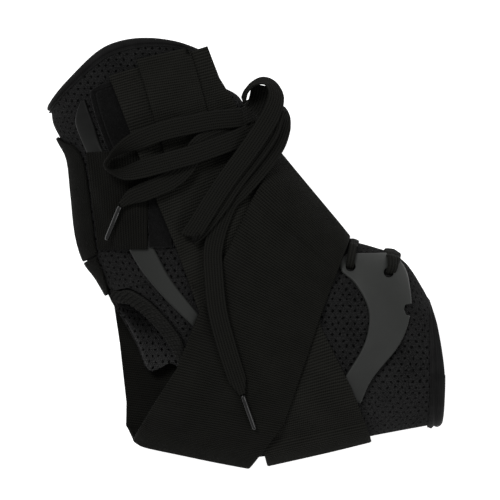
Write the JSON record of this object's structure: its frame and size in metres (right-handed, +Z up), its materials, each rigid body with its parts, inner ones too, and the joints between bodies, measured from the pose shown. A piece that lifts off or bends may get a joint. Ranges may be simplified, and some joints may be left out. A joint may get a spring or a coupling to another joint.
{
  "type": "ankle brace",
  "caption": "Lace-up ankle brace lying on its side, with padded mesh panels, plastic side stays, crossing webbing straps, an open heel and a loose flat lace",
  "frame": {"origin": "the point on the surface that the brace lies on, under the middle of its box without the free laces", "axes": "+X from the heel to the toe opening, +Y from the sole to the leg opening, +Z up, away from the surface it lies on"},
  "size_m": [0.187, 0.2024, 0.067],
  "materials": {
    "mesh": "padded black air mesh",
    "binding": "satin black binding tape",
    "elastic": "black ribbed and ruched elastic",
    "webbing": "black cross-ribbed webbing",
    "fastening_pad": "black fuzzy hook and loop fabric",
    "lace": "black flat woven lace",
    "plastic": "matt dark grey moulded plastic",
    "aglet": "glossy black plastic"
  },
  "bodies": {
    "root": {"side_panel_near": "mesh", "side_panel_far": "mesh", "cuff_binding": "binding", "toe_binding": "binding", "tongue": "mesh", "heel_elastic": "elastic", "back_band": "elastic", "achilles_edge": "elastic", "instep_plate_near": "plastic", "instep_plate_far": "plastic", "lace_cross_1": "lace", "lace_cross_2": "lace", "lace_cross_3": "lace", "lace_cross_4": "lace", "lace_cross_5": "lace", "stay_near": "plastic", "stay_far": "plastic", "loop_pad": "fastening_pad", "cuff_strap": "elastic", "cuff_hook_tab": "fastening_pad", "arch_strap": "webbing", "strap_tab": "webbing", "heel_strap": "webbing", "lace_left": "lace", "lace_long": "lace", "aglet_left": "aglet", "aglet_long": "aglet"}
  },
  "joints": []
}
